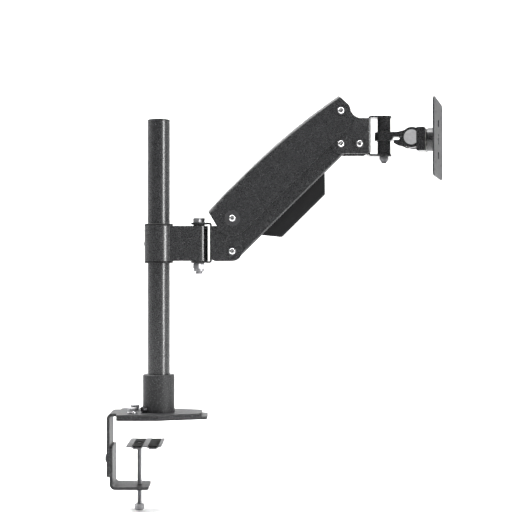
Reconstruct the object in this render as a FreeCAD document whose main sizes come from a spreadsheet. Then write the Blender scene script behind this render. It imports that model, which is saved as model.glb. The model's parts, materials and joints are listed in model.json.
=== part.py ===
"""Desk-clamp monitor arm with a gas-spring lift, a height collar on a pole and a tilting head.

Units are millimetres and degrees. +X runs from the pole towards the monitor, +Z is up and
-Y is the near side of the arm, where the bolt heads are. The origin lies on the desk top, on
the pole's axis, at the underside of the desk pad.
"""
import FreeCAD, Part
import math
import os
import re

import Sketcher

Vector = FreeCAD.Vector
Rotation = FreeCAD.Rotation

# ---------------------------------------------------------------- driving dimensions
SIZES = {
    # clearances
    "running_gap": 0.05,
    "side_gap": 0.1,
    # pole
    "pole_radius": 17.5,
    "pole_wall": 2,
    "pole_top": 460,
    "cap_rise": 2.5,
    "cap_plug": 12,
    "socket_radius": 24.75,
    "socket_top": 67,
    "lock_height": 14,
    "lock_angle": 216,
    # base plates
    "pad_thickness": 1.5,
    "plate_low": 4.5,
    "plate_top": 9,
    "plate_half": 46,
    "plate_left": -62,
    "plate_right": 67,
    "under_right": 76,
    "taper_start": 2,
    "end_half": 25,
    "corner_radius": 6,
    "tongue_half": 28,
    "leg_left": -78,
    "leg_thickness": 4.5,
    "leg_bottom": -89,
    "leg_bend": 8,
    "base_bolt_x": -39,
    "base_bolt_y": 20,
    # clamp
    "jaw_top": -42,
    "jaw_bottom": -108.2,
    "jaw_right": -14,
    "jaw_sheet": 4.6,
    "jaw_bend": 9,
    "jaw_bolt_z": -61,
    "jaw_bolt_y": 14,
    "screw_x": -30,
    "screw_radius": 4,
    "screw_foot": -134,
    "screw_head": 9.5,
    "foot_left": -47,
    "foot_right": 7,
    "foot_half": 43,
    "foot_top": -38.7,
    "foot_sheet": 2,
    "rib_depth": 2.6,
    "rib_near": -30,
    "rib_far": -6,
    "rib_mouth": 8.5,
    "rib_floor": 5,
    # collar on the pole
    "strap_low": 243,
    "strap_high": 297.2,
    "strap_sheet": 2.5,
    "strap_radius": 22.6,
    "bush_radius": 20,
    "bush_flange": 22.2,
    "bush_flange_depth": 3.3,
    "bush_depth": 24,
    "nose_radius": 14.05,
    # elbow
    "elbow_x": 62.6,
    "elbow_bolt_radius": 6,
    "elbow_low": 239.8,
    "elbow_high": 302.4,
    "bracket_sheet": 3,
    "elbow_flange": 12.8,
    "yoke_left": 79.8,
    "yoke_top": 296.8,
    "plate_half_width": 20,
    "plate_sheet": 3,
    "pivot_boss": 15,
    # parallel arm
    "lower_pivot_x": 114.4,
    "lower_pivot_z": 257.8,
    "pivot_rise": 50.5,
    "arm_length": 235,
    "arm_angle": 44.7,
    "shell_half_width": 23,
    "shell_sheet": 2.5,
    "shell_bend": 7,
    "shell_start": -18.9,
    "shell_end": 249,
    "shell_top_start": 34.2,
    "shell_top_end": 19.4,
    "shell_below": 26.5,
    "shell_peak": 45,
    "top_radius": 1112.3,
    "top_centre_along": 54.3,
    "top_centre_height": -1075.7,
    "link_half_width": 16.6,
    "link_sheet": 2,
    "link_boss": 14.5,
    "link_rise": 24,
    "link_low_rise": 9,
    "cover_start": 51,
    "cover_end": 187,
    "cover_floor_start": 71,
    "cover_floor_end": 163.5,
    "cover_depth": 24.2,
    "cover_half_width": 13,
    "cover_wall": 2,
    # pivot fasteners
    "pin_radius": 3,
    "bush_wall": 1.9,
    "button_radius": 5.25,
    "button_height": 3.3,
    "washer_radius": 6.4,
    "wide_washer_radius": 12,
    "washer_depth": 1,
    # gas spring
    "spring_offset": 18,
    "spring_pin": 3.5,
    "anchor_along": 200,
    "cylinder_radius": 10.5,
    "cylinder_front": 184,
    "cylinder_back": 62,
    "rod_radius": 4,
    "slot_play": 3.4,
    "slot_gap": 1.2,
    # head bracket
    "head_boss": 14.6,
    "head_right": 328,
    "head_top": 463,
    "head_fillet": 18,
    "brace_bolt_x": 310.1,
    "flange_low": 405.3,
    "flange_high": 467.7,
    "swivel_x": 350.3,
    "swivel_flange_radius": 12,
    "spacer_radius": 10.4,
    "knuckle_low": 429.5,
    "knuckle_high": 442.5,
    "knuckle_radius": 14.8,
    # tilting head, measured from the swivel axis along the head
    "head_yaw": -16,
    "tilt_reach": 45,
    "tilt_height": 432.5,
    "ear_radius": 15.8,
    "ear_outer": 16.7,
    "ear_inner": 8,
    "disc_radius": 11.4,
    "disc_depth": 2.7,
    "flat_offset": 7.6,
    "block_front": 20.6,
    "block_height": 429.5,
    "block_half_height": 18,
    "cheek_outer": 20,
    "hub_front": 36.6,
    "vesa_thickness": 2.5,
    "vesa_half": 59,
    "vesa_wide": 50,
    "vesa_narrow": 37.5,
    "vesa_hole": 2.5,
}

ALIAS = re.compile(r"\b[a-z]+(?:_[a-z]+)+\b")


def with_sheet(formula):
    """Prefix each sheet alias in a formula with the sheet's name."""
    return ALIAS.sub(lambda word: "Sizes." + word.group() if word.group() in SIZES else word.group(), formula)


def bind(item, prop, formula):
    item.setExpression(prop, with_sheet(formula))


doc = FreeCAD.newDocument("monitor_arm")
sheet = doc.addObject("Spreadsheet::Sheet", "Sizes")
for row, (alias, number) in enumerate(SIZES.items(), start=1):
    sheet.set("A%d" % row, alias)
    sheet.set("B%d" % row, str(number))
    sheet.setAlias("B%d" % row, alias)
doc.recompute()

nodes = []          # every sub-part object, one STEP file each
SIDE = Rotation(Vector(1, 0, 0), 90)          # local x, y, z -> X, Z, -Y
YAW = Rotation(Vector(0, 0, 1), SIZES["head_yaw"])
LIFT = Rotation(Vector(0, -1, 0), SIZES["arm_angle"])


# ---------------------------------------------------------------- modelling helpers
def new_body(label, is_node=True):
    body = doc.addObject("PartDesign::Body", label)
    body.Label = label
    if is_node:
        nodes.append(body)
    return body


def sketch_on(body, plane, height):
    """A sketch parallel to one of the body's origin planes, at a height along its normal."""
    planes = {feature.Role: feature for feature in body.Origin.OriginFeatures}
    sketch = body.newObject("Sketcher::SketchObject", body.Name + "_outline")
    sketch.AttachmentSupport = [(planes[plane], "")]
    sketch.MapMode = "FlatFace"
    bind(sketch, "AttachmentOffset.Base.z", height)
    return sketch


def fix_point(sketch, geometry, point, x, y):
    """Hold a sketch point at coordinates that are formulas of the sheet."""
    for kind, formula, axis in (("DistanceX", x, -2), ("DistanceY", y, -1)):
        if formula == "0":
            sketch.addConstraint(Sketcher.Constraint("PointOnObject", geometry, point, axis))
            continue
        index = sketch.addConstraint(Sketcher.Constraint(kind, -1, 1, geometry, point, 1.0))
        bind(sketch, "Constraints[%d]" % index, formula)


def draw_polygon(sketch, points):
    first = sketch.GeometryCount
    total = len(points)
    start = [Vector(math.cos(2 * math.pi * i / total), math.sin(2 * math.pi * i / total), 0) for i in range(total)]
    for i in range(total):
        sketch.addGeometry(Part.LineSegment(start[i], start[(i + 1) % total]), False)
    for i, (x, y) in enumerate(points):
        sketch.addConstraint(Sketcher.Constraint("Coincident", first + i, 2, first + (i + 1) % total, 1))
        fix_point(sketch, first + i, 1, x, y)


def draw_circle(sketch, x, y, radius):
    index = sketch.addGeometry(Part.Circle(Vector(0, 0, 0), Vector(0, 0, 1), 1.0), False)
    size = sketch.addConstraint(Sketcher.Constraint("Radius", index, 1.0))
    bind(sketch, "Constraints[%d]" % size, radius)
    fix_point(sketch, index, 3, x, y)


def circle(x, y, radius):
    return ("circle", x, y, radius)


def draw(sketch, outlines):
    for outline in outlines:
        if outline[0] == "circle":
            draw_circle(sketch, *outline[1:])
        else:
            draw_polygon(sketch, outline)


def add(body, outlines, low, high, plane="XY_Plane"):
    """Pad closed outlines from one height to another along the plane's normal."""
    sketch = sketch_on(body, plane, low)
    draw(sketch, outlines)
    pad = body.newObject("PartDesign::Pad", body.Name + "_pad")
    pad.Profile = sketch
    bind(pad, "Length", "(%s) - (%s)" % (high, low))
    return pad


def cut(body, outlines, low, high, plane="XY_Plane"):
    """Pocket closed outlines from one height to another along the plane's normal."""
    doc.recompute()
    before = body.Shape.Volume
    sketch = sketch_on(body, plane, low)
    draw(sketch, outlines)
    pocket = body.newObject("PartDesign::Pocket", body.Name + "_pocket")
    pocket.Profile = sketch
    pocket.Reversed = True
    bind(pocket, "Length", "(%s) - (%s)" % (high, low))
    doc.recompute()
    if body.Shape.Volume > before - 0.1:
        raise RuntimeError(body.Label + ": a pocket cuts nothing")
    return pocket


def turn(body, half_section, groove=False):
    """Revolve a half section of (radius, height) points about the body's own Z axis."""
    doc.recompute()
    before = body.Shape.Volume if groove else 0
    sketch = sketch_on(body, "XZ_Plane", "0")
    draw_polygon(sketch, half_section)
    kind = "PartDesign::Groove" if groove else "PartDesign::Revolution"
    feature = body.newObject(kind, body.Name + "_turned")
    feature.Profile = sketch
    feature.ReferenceAxis = (sketch, ["V_Axis"])
    feature.Angle = 360
    if groove:
        doc.recompute()
        if body.Shape.Volume > before - 0.01:
            raise RuntimeError(body.Label + ": a groove cuts nothing")
    return feature


def straight_edges(direction, spots):
    """A test for straight edges along a direction that pass through given points."""
    def test(edge):
        if not isinstance(edge.Curve, Part.Line):
            return False
        if abs(abs(edge.Curve.Direction.dot(direction)) - 1) > 1e-6:
            return False
        return any(edge.Curve.projectPoint(spot, "LowerDistance") < 0.02 for spot in spots)
    return test


def round_circles(heights, radius=None):
    """A test for circular edges that lie in planes at given heights of the body's Z axis."""
    def test(edge):
        if not isinstance(edge.Curve, Part.Circle):
            return False
        fits = radius is None or abs(edge.Curve.Radius - radius) < 0.02
        return fits and any(abs(edge.Curve.Center.z - height) < 0.02 for height in heights)
    return test


def soften(body, test, size, kind="Fillet"):
    """Round or chamfer the edges that pass a test."""
    doc.recompute()
    tip = body.Tip
    names = ["Edge%d" % (i + 1) for i, edge in enumerate(tip.Shape.Edges) if test(edge)]
    if not names:
        raise RuntimeError(body.Label + ": no edges to soften")
    feature = body.newObject("PartDesign::" + kind, body.Name + "_" + kind.lower())
    feature.Base = (tip, names)
    bind(feature, "Radius" if kind == "Fillet" else "Size", size)
    return feature


def place(item, x="0", y="0", z="0", rotation=None):
    if rotation is not None:
        item.Placement = FreeCAD.Placement(Vector(0, 0, 0), rotation)
    for axis, formula in (("x", x), ("y", y), ("z", z)):
        if formula != "0":
            bind(item, "Placement.Base." + axis, formula)
    return item


def group(label, members):
    """Identical or paired small pieces that share one node as separate solids."""
    compound = doc.addObject("Part::Compound", label)
    compound.Label = label
    compound.Links = members
    nodes.append(compound)
    return compound


def hexagon(across_flats, turn_angle=0):
    corners = []
    for i in range(6):
        angle = 60 * i + turn_angle
        corners.append(("%s / 2 / cos(30) * cos(%g)" % (across_flats, angle),
                        "%s / 2 / cos(30) * sin(%g)" % (across_flats, angle)))
    return corners


def tube(label, outer, inner, low, high, x="0", y="0", is_node=True):
    body = new_body(label, is_node)
    add(body, [circle("0", "0", outer), circle("0", "0", inner)], low, high)
    return place(body, x, y)


# ---------------------------------------------------------------- fastener shapes
def button_bolt(name, radius, head_radius, head_height, length, socket):
    """A dome-headed bolt along +Z: its head stands above Z = 0 and its shank hangs below."""
    body = new_body(name, False)
    turn(body, [("0", "0 - (%s)" % length), (radius, "0 - (%s)" % length), (radius, "0"), (head_radius, "0"),
                (head_radius, head_height + " * 0.3"), (head_radius + " * 0.86", head_height + " * 0.7"),
                (head_radius + " * 0.55", head_height), ("0", head_height)])
    cut(body, [hexagon(socket)], head_height + " * 0.35", head_height + " + 1")
    return body


def hex_bolt(name, radius, flats, head_height, length):
    """A hexagon bolt along +Z: its head stands above Z = 0 and its shank hangs below."""
    body = new_body(name, False)
    add(body, [hexagon(flats)], "0", head_height)
    add(body, [circle("0", "0", radius)], "0 - (%s)" % length, "0")
    bevel_corners(body, flats, head_height, 1)
    return body


def bevel_corners(body, flats, face, side):
    """Turn the corners of a hexagon off at about 30 degrees, above (1) or below (-1) its face."""
    reach = "%s / 2 * 1.25" % flats
    inner = "%s / 2 * 0.97" % flats
    drop = "%s + (%g) * %s / 2 * 0.16" % (face, -side, flats)
    turn(body, [(inner, face), (reach, face), (reach, drop)], groove=True)


def lock_nut(name, flats, height, bore):
    """A nut with a nylon collar: its bearing face is at Z = 0 and it hangs below."""
    body = new_body(name, False)
    add(body, [hexagon(flats), circle("0", "0", bore)], "0 - (%s) * 0.68" % height, "0")
    add(body, [circle("0", "0", "%s * 0.45" % flats), circle("0", "0", bore)],
        "0 - (%s)" % height, "0 - (%s) * 0.68" % height)
    bevel_corners(body, flats, "0", 1)
    soften(body, round_circles([-value_of(height)], value_of(flats) * 0.45), "0.8")
    return body


def value_of(formula):
    """The number of a plain literal or of one sheet alias."""
    return SIZES[formula] if formula in SIZES else float(formula)


def washer(name, outer, inner, low, high):
    return tube(name, outer, inner, low, high, is_node=False)


# ---------------------------------------------------------------- base
def base_outline(left, right):
    return [(left, "-plate_half"), ("taper_start", "-plate_half"), (right, "-end_half"), (right, "end_half"),
            ("taper_start", "plate_half"), (left, "plate_half")]


def make_base():
    corners = [Vector(SIZES["plate_left"], side * SIZES["plate_half"], 0) for side in (-1, 1)]
    ends = [Vector(SIZES["plate_right"], side * SIZES["end_half"], 0) for side in (-1, 1)]
    far_ends = [Vector(SIZES["under_right"], side * SIZES["end_half"], 0) for side in (-1, 1)]
    up = Vector(0, 0, 1)
    across = Vector(0, 1, 0)

    bracket = new_body("base_bracket")
    add(bracket, [base_outline("plate_left", "plate_right")], "plate_low", "plate_top")
    add(bracket, [[("leg_left", "-tongue_half"), ("plate_left + 1", "-tongue_half"),
                   ("plate_left + 1", "tongue_half"), ("leg_left", "tongue_half")]], "plate_low", "plate_top")
    add(bracket, [[("leg_left", "-tongue_half"), ("leg_left + leg_thickness", "-tongue_half"),
                   ("leg_left + leg_thickness", "tongue_half"), ("leg_left", "tongue_half")]],
        "leg_bottom", "plate_low")
    soften(bracket, straight_edges(up, corners + ends), "corner_radius")
    soften(bracket, straight_edges(across, [Vector(SIZES["leg_left"], 0, SIZES["plate_top"])]), "leg_bend")
    inner_bend = Vector(SIZES["leg_left"] + SIZES["leg_thickness"], 0, SIZES["plate_low"])
    soften(bracket, straight_edges(across, [inner_bend]), "leg_bend - leg_thickness")
    leg_corners = [Vector(0, side * SIZES["tongue_half"], SIZES["leg_bottom"]) for side in (-1, 1)]
    soften(bracket, straight_edges(Vector(1, 0, 0), leg_corners), "4")
    cut(bracket, [circle("base_bolt_x", sign + "base_bolt_y", "4.3") for sign in ("", "-")],
        "plate_low - 1", "plate_top + 1")
    cut(bracket, [circle(sign + "jaw_bolt_y", "jaw_bolt_z", "4.05") for sign in ("", "-")],
        "leg_left - 1", "leg_left + leg_thickness + 1", "YZ_Plane")

    under = new_body("base_under_plate")
    add(under, [base_outline("plate_left", "under_right")], "pad_thickness", "plate_low")
    soften(under, straight_edges(up, corners + far_ends), "corner_radius")
    soften(under, lambda edge: edge.BoundBox.ZMin > SIZES["plate_low"] - 0.01, "0.8", "Chamfer")
    cut(under, [circle("base_bolt_x", sign + "base_bolt_y", "4.05") for sign in ("", "-")],
        "pad_thickness - 1", "plate_low + 1")

    pad = new_body("desk_pad")
    add(pad, [base_outline("plate_left", "under_right")], "0", "pad_thickness")
    soften(pad, straight_edges(up, corners + far_ends), "corner_radius")

    bolts = []
    washers = []
    for sign in ("", "-"):
        bolt = hex_bolt("base_bolt", "4", "13", "5.3", "plate_top + 3 - pad_thickness")
        bolts.append(place(bolt, "base_bolt_x", sign + "base_bolt_y", "plate_top + 3"))
        flat = washer("base_flat_washer", "8", "4.2", "0", "1.5")
        spring = washer("base_spring_washer", "6.7", "4.2", "1.5", "3")
        washers += [place(item, "base_bolt_x", sign + "base_bolt_y", "plate_top") for item in (flat, spring)]
    group("base_bolts", bolts)
    group("base_bolt_washers", washers)


def make_pole():
    tube("pole", "pole_radius", "pole_radius - pole_wall", "plate_top", "pole_top")
    socket = tube("pole_socket", "socket_radius", "pole_radius + running_gap", "plate_top", "socket_top")
    soften(socket, round_circles([SIZES["socket_top"]], SIZES["socket_radius"]), "1.5")
    cut(socket, [circle("0", "lock_height", "3.05")], "0", "socket_radius + 1", "YZ_Plane")
    # the screw hole is bored along +X, so the socket is turned to bring it to the screw
    place(socket, rotation=Rotation(Vector(0, 0, 1), SIZES["lock_angle"]))

    cap = new_body("pole_cap")
    turn(cap, [("0", "pole_top - cap_plug"), ("pole_radius - pole_wall - 1.6", "pole_top - cap_plug"),
               ("pole_radius - pole_wall - running_gap", "pole_top - cap_plug + 3"),
               ("pole_radius - pole_wall - running_gap", "pole_top"), ("pole_radius", "pole_top"),
               ("pole_radius", "pole_top + cap_rise - 1"), ("pole_radius - 1", "pole_top + cap_rise"),
               ("0", "pole_top + cap_rise")])

    lock = new_body("pole_lock_screw")
    turn(lock, [("0", "pole_radius + 0.1"), ("3", "pole_radius + 0.1"), ("3", "socket_radius"),
                ("5", "socket_radius"), ("5", "socket_radius + 5.4"), ("4.4", "socket_radius + 6"),
                ("0", "socket_radius + 6")])
    cut(lock, [hexagon("5")], "socket_radius + 3", "socket_radius + 7")
    angle = math.radians(SIZES["lock_angle"])
    outward = Rotation(Vector(0, 0, 1), Vector(math.cos(angle), math.sin(angle), 0))
    place(lock, z="lock_height", rotation=outward)


# ---------------------------------------------------------------- desk clamp
def make_jaw():
    across = Vector(0, 1, 0)
    left = "leg_left + leg_thickness"
    jaw = new_body("clamp_jaw")
    add(jaw, [[(left, "jaw_top"), (left, "jaw_bottom"), ("jaw_right", "jaw_bottom"),
               ("jaw_right", "jaw_bottom + jaw_sheet"), (left + " + jaw_sheet", "jaw_bottom + jaw_sheet"),
               (left + " + jaw_sheet", "jaw_top")]], "-tongue_half", "tongue_half", "XZ_Plane")
    x = SIZES["leg_left"] + SIZES["leg_thickness"]
    z = SIZES["jaw_bottom"]
    sheet_depth = SIZES["jaw_sheet"]
    soften(jaw, straight_edges(across, [Vector(x, 0, z)]), "jaw_bend")
    soften(jaw, straight_edges(across, [Vector(x + sheet_depth, 0, z + sheet_depth)]), "jaw_bend - jaw_sheet")
    end_corners = [Vector(SIZES["jaw_right"], side * SIZES["tongue_half"], 0) for side in (-1, 1)]
    top_corners = [Vector(0, side * SIZES["tongue_half"], SIZES["jaw_top"]) for side in (-1, 1)]
    soften(jaw, straight_edges(Vector(0, 0, 1), end_corners), "5")
    soften(jaw, straight_edges(Vector(1, 0, 0), top_corners), "5")
    cut(jaw, [circle("screw_x", "0", "screw_radius + running_gap")], "jaw_bottom - 1", "jaw_bottom + jaw_sheet + 1")
    cut(jaw, [circle(sign + "jaw_bolt_y", "jaw_bolt_z", "4.05") for sign in ("", "-")],
        left + " - 1", left + " + jaw_sheet + 1", "YZ_Plane")

    bolts = []
    for sign in ("", "-"):
        bolt = button_bolt("jaw_bolt", "4", "7", "3.4", "leg_thickness + jaw_sheet", "5")
        bolts.append(place(bolt, "leg_left", sign + "jaw_bolt_y", "jaw_bolt_z", Rotation(Vector(0, 1, 0), -90)))
    group("clamp_jaw_bolts", bolts)


def rib(centre, floor_z, mouth_z):
    """Four points of one pressed rib, from left to right."""
    return [(centre + " - rib_mouth", mouth_z), (centre + " - rib_floor", floor_z),
            (centre + " + rib_floor", floor_z), (centre + " + rib_mouth", mouth_z)]


def make_clamp_foot():
    top = "foot_top"
    floor = "foot_top - rib_depth"
    foot = new_body("clamp_foot_plate")
    upper = [("foot_left", top)] + rib("rib_near", floor, top) + rib("rib_far", floor, top) + [("foot_right", top)]
    lower = [(x, z + " - foot_sheet") for x, z in reversed(upper)]
    add(foot, [upper + lower], "-foot_half", "foot_half", "XZ_Plane")
    corners = [Vector(SIZES[x], side * SIZES["foot_half"], 0) for x in ("foot_left", "foot_right") for side in (-1, 1)]
    soften(foot, straight_edges(Vector(0, 0, 1), corners), "4")
    cut(foot, [circle("screw_x", "0", "3")], "foot_top - rib_depth - foot_sheet - 1", "foot_top")

    pads = []
    for centre in ("rib_near", "rib_far"):
        strip = new_body("foot_pad_strip", False)
        pad_floor = floor + " + 0.05"
        add(strip, [[(centre + " - rib_mouth + 0.6", top), (centre + " - rib_floor + 0.3", pad_floor),
                     (centre + " + rib_floor - 0.3", pad_floor), (centre + " + rib_mouth - 0.6", top)]],
            "4 - foot_half", "foot_half - 4", "XZ_Plane")
        if centre == "rib_near":
            cut(strip, [circle("screw_x", "0", "6")], floor + " - 1", top + " + 1")
        pads.append(strip)
    group("clamp_foot_pads", pads)

    screw = new_body("clamp_screw")
    floor_under = "foot_top - rib_depth - foot_sheet"
    turn(screw, [("0", "screw_foot"), ("screw_radius", "screw_foot"), ("screw_radius", floor_under + " - 3"),
                 ("7", floor_under + " - 3"), ("7", floor_under), ("2.95", floor_under),
                 ("2.95", floor + " + 0.1"), ("5", floor + " + 0.1"), ("3.6", floor + " + 1.6"),
                 ("0", floor + " + 1.6")])
    add(screw, [hexagon("13")], "screw_foot - screw_head", "screw_foot")
    bevel_corners(screw, "13", "screw_foot - screw_head", -1)
    place(screw, "screw_x")


# ---------------------------------------------------------------- collar on the pole
def keyhole(body, pole_side, elbow_side, low, high, action):
    """The outline round the pole's circle and the narrower elbow, joined by straight sides."""
    action(body, [[("0", elbow_side), ("elbow_x", elbow_side), ("elbow_x", "-1 * (%s)" % elbow_side),
                   ("0", "-1 * (%s)" % elbow_side)]], low, high)
    action(body, [circle("0", "0", pole_side)], low, high)
    action(body, [circle("elbow_x", "0", elbow_side)], low, high)


def make_collar():
    strap = new_body("collar_strap")
    keyhole(strap, "strap_radius", "nose_radius", "strap_low", "strap_high", add)
    keyhole(strap, "strap_radius - strap_sheet", "nose_radius - strap_sheet", "strap_low - 1", "strap_high + 1", cut)
    middle = "(strap_low + strap_high) / 2"
    lock_direction = Rotation(Vector(0, 0, 1), 155)
    hole = new_body("collar_hole_tool", False)
    add(hole, [circle("0", "0", "3.05")], "pole_radius", "strap_radius + 2")
    outward = Rotation(Vector(0, 0, 1), lock_direction.multVec(Vector(1, 0, 0)))
    place(hole, z=middle, rotation=outward)
    drilled = doc.addObject("Part::Cut", "collar_strap_drilled")
    drilled.Base = strap
    drilled.Tool = hole
    nodes.remove(strap)
    strap.Label = "collar_strap_blank"
    drilled.Label = "collar_strap"
    nodes.append(drilled)

    lock = new_body("collar_lock_screw")
    turn(lock, [("0", "pole_radius + 0.4"), ("2.2", "pole_radius + 0.4"), ("3", "pole_radius + 1.2"),
                ("3", "strap_radius + 3"), ("2.6", "strap_radius + 3.4"), ("0", "strap_radius + 3.4")])
    cut(lock, [hexagon("3")], "strap_radius + 0.5", "strap_radius + 4")
    place(lock, z=middle, rotation=outward)

    bore = "pole_radius + running_gap"
    for label, face, way in (("collar_bush_upper", "strap_high", 1), ("collar_bush_lower", "strap_low", -1)):
        bush = new_body(label)
        outer_face = "%s + (%d) * (side_gap + bush_flange_depth)" % (face, way)
        inner_face = "%s + (%d) * side_gap" % (face, way)
        end = "%s - (%d) * bush_depth" % (face, way)
        turn(bush, [(bore, outer_face), ("bush_flange - 0.8", outer_face),
                    ("bush_flange", "%s - (%d) * 0.8" % (outer_face, way)), ("bush_flange", inner_face),
                    ("bush_radius", inner_face), ("bush_radius", end), (bore, end)])

    tube("elbow_barrel", "nose_radius - strap_sheet", "elbow_bolt_radius + running_gap",
         "strap_low", "strap_high", x="elbow_x")


# ---------------------------------------------------------------- elbow and yoke
def fold_flanges(body, axis_x, radius, low, high, near_face, bend_face, bend_x, bolt):
    """Add two flanges round a vertical bolt, bent out of a body's upright web.

    near_face and bend_face are the web's two faces; the flanges bend away at bend_face.
    """
    for bottom, top in ((low, low + " + bracket_sheet"), (high + " - bracket_sheet", high)):
        add(body, [[(axis_x, "-1 * " + radius), (bend_face, "-1 * " + radius), (bend_face, radius),
                    (axis_x, radius)]], bottom, top)
        add(body, [circle(axis_x, "0", radius)], bottom, top)
    add(body, [[(near_face, "-1 * " + radius), (bend_face, "-1 * " + radius), (bend_face, radius),
                (near_face, radius)]], low + " + bracket_sheet / 2", high + " - bracket_sheet / 2")
    spots = [Vector(bend_x, 0, SIZES[low]), Vector(bend_x, 0, SIZES[high])]
    soften(body, straight_edges(Vector(0, 1, 0), spots), "bracket_sheet + 1")
    cut(body, [circle(axis_x, "0", bolt)], low + " - 1", high + " + 1")


def make_elbow():
    ring = tube("elbow_washer", "9", "elbow_bolt_radius + running_gap",
                "strap_high + side_gap", "elbow_high - bracket_sheet - 0.02")
    place(ring, "elbow_x")

    bolt = hex_bolt("elbow_bolt", "elbow_bolt_radius", "18", "7.5", "elbow_high - elbow_low + 17")
    nodes.append(bolt)
    corner_on = Rotation(Vector(0, 0, 1), 30)
    place(bolt, "elbow_x", z="elbow_high", rotation=corner_on)
    nut = lock_nut("elbow_nut", "18", "13", "elbow_bolt_radius + 0.02")
    nodes.append(nut)
    place(nut, "elbow_x", z="elbow_low", rotation=corner_on)


UPPER_PIVOT_Z = "lower_pivot_z + pivot_rise"


def make_yoke():
    """One folded sheet: a web, two side plates for the arm and two flanges for the elbow bolt."""
    yoke = new_body("yoke")
    x = "lower_pivot_x"
    boss = "pivot_boss"
    bottom = "lower_pivot_z - pivot_boss"
    web = "yoke_left + plate_sheet"
    outline = [("yoke_left", bottom + " + 2"), (web + " + 1", bottom + " + 2"), (web + " + 4", bottom), (x, bottom),
               (x, "lower_pivot_z"), (x + " + " + boss, "lower_pivot_z"),
               (x + " + " + boss, UPPER_PIVOT_Z), (x + " - " + boss, UPPER_PIVOT_Z),
               (x + " - 22", "yoke_top"), ("yoke_left", "yoke_top")]
    add(yoke, [outline], "-plate_half_width", "plate_half_width", "XZ_Plane")
    for z in ("lower_pivot_z", UPPER_PIVOT_Z):
        add(yoke, [circle(x, z, boss)], "-plate_half_width", "plate_half_width", "XZ_Plane")
    bends = [Vector(SIZES["yoke_left"], side * SIZES["plate_half_width"], 0) for side in (-1, 1)]
    soften(yoke, straight_edges(Vector(0, 0, 1), bends), "plate_sheet + 1")
    inside = "plate_half_width - plate_sheet"
    cut(yoke, [[(web, "elbow_low"), (x + " + 30", "elbow_low"), (x + " + 30", UPPER_PIVOT_Z + " + 30"),
                (web, UPPER_PIVOT_Z + " + 30")]], "-1 * (%s)" % inside, inside, "XZ_Plane")
    fold_flanges(yoke, "elbow_x", "elbow_flange", "elbow_low", "elbow_high", "yoke_left", web,
                 SIZES["yoke_left"] + SIZES["plate_sheet"], "elbow_bolt_radius + running_gap")
    bore = "pin_radius + running_gap"
    spring_z = UPPER_PIVOT_Z + " - spring_offset"
    cut(yoke, [circle(x, "lower_pivot_z", bore), circle(x, UPPER_PIVOT_Z, bore),
               circle(x, spring_z, "spring_pin + running_gap")],
        "-plate_half_width - 1", "plate_half_width + 1", "XZ_Plane")

    pin = new_body("spring_yoke_pin")
    turn(pin, [("0", "0.3 - plate_half_width"), ("spring_pin", "0.3 - plate_half_width"),
               ("spring_pin", "plate_half_width - 0.3"), ("0", "plate_half_width - 0.3")])
    place(pin, x, z=spring_z, rotation=SIDE)


# ---------------------------------------------------------------- pivots
def pivot_set(names, x, z, face, washer_outer, y_sign_gap="side_gap"):
    """Bolt, washers and lock nut of one horizontal pivot; face is the outer face it clamps."""
    bolts, washers, nuts = names
    seat = "%s + %s" % (face, y_sign_gap)
    head = "%s + washer_depth" % seat
    bolt = button_bolt("pivot_bolt", "pin_radius", "button_radius", "button_height",
                       "2 * (%s) + 7" % head, "4")
    bolts.append(place(bolt, x, "-1 * (%s)" % head, z, SIDE))
    for way in (1, -1):
        ring = washer("pivot_washer", washer_outer, "pin_radius + running_gap", "0 - washer_depth", "0")
        place(ring, x, "%d * (%s)" % (-way, seat if way < 0 else head), z, SIDE)
        washers.append(ring)
    nut = lock_nut("pivot_nut", "10", "6", "pin_radius + 0.02")
    nuts.append(place(nut, x, head, z, SIDE))


HEAD_PIVOT_X = "lower_pivot_x + arm_length * cos(arm_angle)"
HEAD_LOWER_Z = "lower_pivot_z + arm_length * sin(arm_angle)"
HEAD_UPPER_Z = HEAD_LOWER_Z + " + pivot_rise"


def make_pivots():
    yoke_parts = ([], [], [])
    pivot_set(yoke_parts, "lower_pivot_x", UPPER_PIVOT_Z, "shell_half_width", "wide_washer_radius")
    pivot_set(yoke_parts, "lower_pivot_x", "lower_pivot_z", "plate_half_width", "washer_radius", "0.02")
    head_parts = ([], [], [])
    pivot_set(head_parts, HEAD_PIVOT_X, HEAD_UPPER_Z, "shell_half_width", "washer_radius")
    pivot_set(head_parts, HEAD_PIVOT_X, HEAD_LOWER_Z, "plate_half_width", "washer_radius", "0.02")
    pivot_set(head_parts, "brace_bolt_x", HEAD_LOWER_Z, "plate_half_width", "washer_radius", "0.02")
    for prefix, parts in (("yoke", yoke_parts), ("head", head_parts)):
        for kind, members in zip(("bolts", "washers", "nuts"), parts):
            group("%s_pivot_%s" % (prefix, kind), members)

    spacer = tube("head_brace_spacer", "5", "pin_radius + 0.02", "plate_sheet - plate_half_width",
                  "plate_half_width - plate_sheet")
    place(spacer, "brace_bolt_x", z=HEAD_LOWER_Z, rotation=SIDE)


def flanged_bush(name, inner_face, outer_face, flange_face, flange_radius):
    """A nylon bush along +Z with a thin flange on its inner side."""
    bush = new_body(name, False)
    bore = "pin_radius + running_gap"
    body_radius = "pin_radius + bush_wall"
    turn(bush, [(bore, flange_face), (flange_radius, flange_face), (flange_radius, inner_face),
                (body_radius, inner_face), (body_radius, outer_face), (bore, outer_face)])
    return bush


def bush_pairs(label, spots, inner_face, outer_face, flange_face, flange_radius):
    """Two bushes, near and far, at each pivot of a link."""
    members = []
    for x, z in spots:
        for side in (SIDE, Rotation(Vector(0, 0, 1), 180) * SIDE):
            bush = flanged_bush("bush", inner_face, outer_face, flange_face, flange_radius)
            members.append(place(bush, x, z=z, rotation=side))
    group(label, members)


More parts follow.
